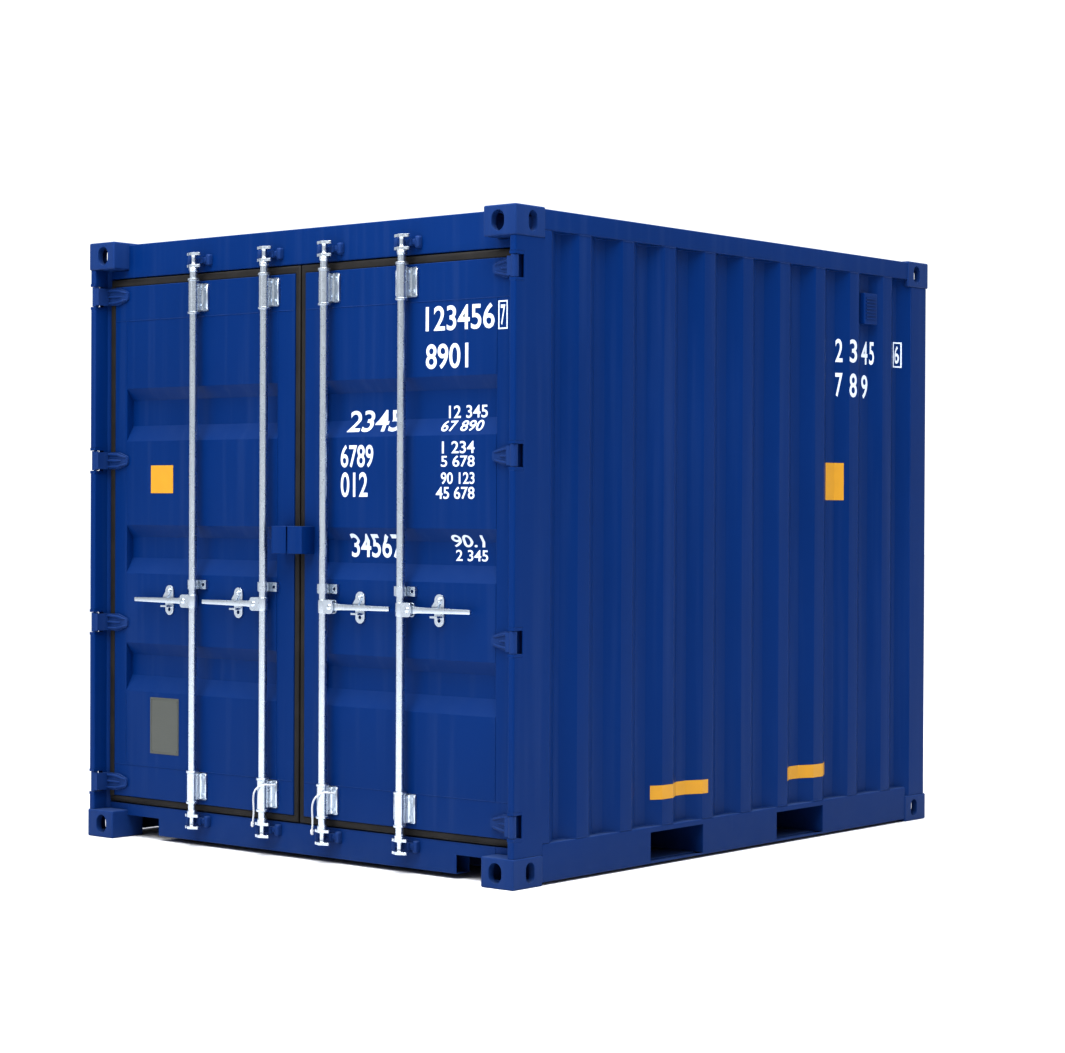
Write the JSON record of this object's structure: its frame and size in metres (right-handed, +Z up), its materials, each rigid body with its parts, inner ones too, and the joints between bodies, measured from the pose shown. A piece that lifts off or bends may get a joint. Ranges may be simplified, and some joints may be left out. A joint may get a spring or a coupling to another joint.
{
  "type": "ten-foot shipping container",
  "caption": "Ten-foot corrugated steel shipping container with corner castings, fork pockets, hinged double doors, turning lock rods and lifting handles.",
  "frame": {"origin": "on the ground, in the middle of the base", "axes": "+X along the container away from the doors, +Y to the left when facing the doors from outside, +Z up"},
  "size_m": [2.991, 2.438, 2.591],
  "materials": {
    "blue_enamel": "semi-gloss marine enamel",
    "galvanised_steel": "hot-dip galvanised",
    "rubber_seal": "extruded EPDM rubber",
    "plywood": "sealed marine plywood",
    "plate_metal": "etched plate",
    "rope": "braided polyester"
  },
  "bodies": {
    "container": {"corner_castings_top": "blue_enamel", "corner_castings_bottom": "blue_enamel", "door_post_left": "blue_enamel", "door_post_right": "blue_enamel", "blind_post_left": "blue_enamel", "blind_post_right": "blue_enamel", "side_top_rail_left": "blue_enamel", "side_top_rail_right": "blue_enamel", "side_bottom_rail_left": "blue_enamel", "side_bottom_rail_right": "blue_enamel", "door_header": "blue_enamel", "door_sill": "blue_enamel", "end_top_rail": "blue_enamel", "end_bottom_rail": "blue_enamel", "side_wall_left": "blue_enamel", "side_wall_right": "blue_enamel", "end_wall": "blue_enamel", "roof_panel": "blue_enamel", "side_vents": "blue_enamel", "floor_cross_members": "blue_enamel", "fork_pockets": "blue_enamel", "floor_boards": "plywood", "hinge_lugs": "blue_enamel", "cam_keepers": "blue_enamel"},
    "left_door": {"left_door_frame": "blue_enamel", "left_door_panel": "blue_enamel", "left_door_gasket": "rubber_seal", "left_hinge_blades": "blue_enamel", "left_rod_brackets": "galvanised_steel", "left_handle_catches": "galvanised_steel", "left_lock_box": "blue_enamel", "data_plate": "plate_metal", "left_tieback_rope": "rope", "left_rope_knot": "rope"},
    "right_door": {"right_door_frame": "blue_enamel", "right_door_panel": "blue_enamel", "right_door_gasket": "rubber_seal", "right_hinge_blades": "blue_enamel", "right_rod_brackets": "galvanised_steel", "right_handle_catches": "galvanised_steel", "right_lock_box": "blue_enamel", "right_tieback_rope": "rope", "right_rope_knot": "rope"},
    "left_outer_rod": {"left_outer_rod": "galvanised_steel"},
    "left_outer_handle": {"left_outer_handle": "galvanised_steel"},
    "left_inner_rod": {"left_inner_rod": "galvanised_steel"},
    "left_inner_handle": {"left_inner_handle": "galvanised_steel"},
    "right_inner_rod": {"right_inner_rod": "galvanised_steel"},
    "right_inner_handle": {"right_inner_handle": "galvanised_steel"},
    "right_outer_rod": {"right_outer_rod": "galvanised_steel"},
    "right_outer_handle": {"right_outer_handle": "galvanised_steel"}
  },
  "joints": [
    {"name": "left_door_hinge", "type": "hinge", "parent": "container", "child": "left_door", "pos_m": [-1.4755, 1.198, 1.29], "axis": [0, 0, -1], "range_deg": [0, 267]},
    {"name": "right_door_hinge", "type": "hinge", "parent": "container", "child": "right_door", "pos_m": [-1.4755, -1.198, 1.29], "axis": [0, 0, 1], "range_deg": [0, 267]},
    {"name": "left_outer_rod_turn", "type": "hinge", "parent": "left_door", "child": "left_outer_rod", "pos_m": [-1.4515, 0.59798, 1.3], "axis": [0, 0, -1], "range_deg": [-100, 0]},
    {"name": "left_outer_handle_lift", "type": "hinge", "parent": "left_outer_rod", "child": "left_outer_handle", "pos_m": [-1.4515, 0.64398, 1.04189], "axis": [-1, 0, 0], "range_deg": [-40, 0]},
    {"name": "left_inner_rod_turn", "type": "hinge", "parent": "left_door", "child": "left_inner_rod", "pos_m": [-1.4515, 0.17296, 1.3], "axis": [0, 0, -1], "range_deg": [-100, 0]},
    {"name": "left_inner_handle_lift", "type": "hinge", "parent": "left_inner_rod", "child": "left_inner_handle", "pos_m": [-1.4515, 0.21896, 1.04189], "axis": [-1, 0, 0], "range_deg": [-40, 0]},
    {"name": "right_inner_rod_turn", "type": "hinge", "parent": "right_door", "child": "right_inner_rod", "pos_m": [-1.4515, -0.17296, 1.3], "axis": [0, 0, 1], "range_deg": [-100, 0]},
    {"name": "right_inner_handle_lift", "type": "hinge", "parent": "right_inner_rod", "child": "right_inner_handle", "pos_m": [-1.4515, -0.21896, 1.04189], "axis": [1, 0, 0], "range_deg": [-40, 0]},
    {"name": "right_outer_rod_turn", "type": "hinge", "parent": "right_door", "child": "right_outer_rod", "pos_m": [-1.4515, -0.59798, 1.3], "axis": [0, 0, 1], "range_deg": [-100, 0]},
    {"name": "right_outer_handle_lift", "type": "hinge", "parent": "right_outer_rod", "child": "right_outer_handle", "pos_m": [-1.4515, -0.64398, 1.04189], "axis": [1, 0, 0], "range_deg": [-40, 0]}
  ]
}
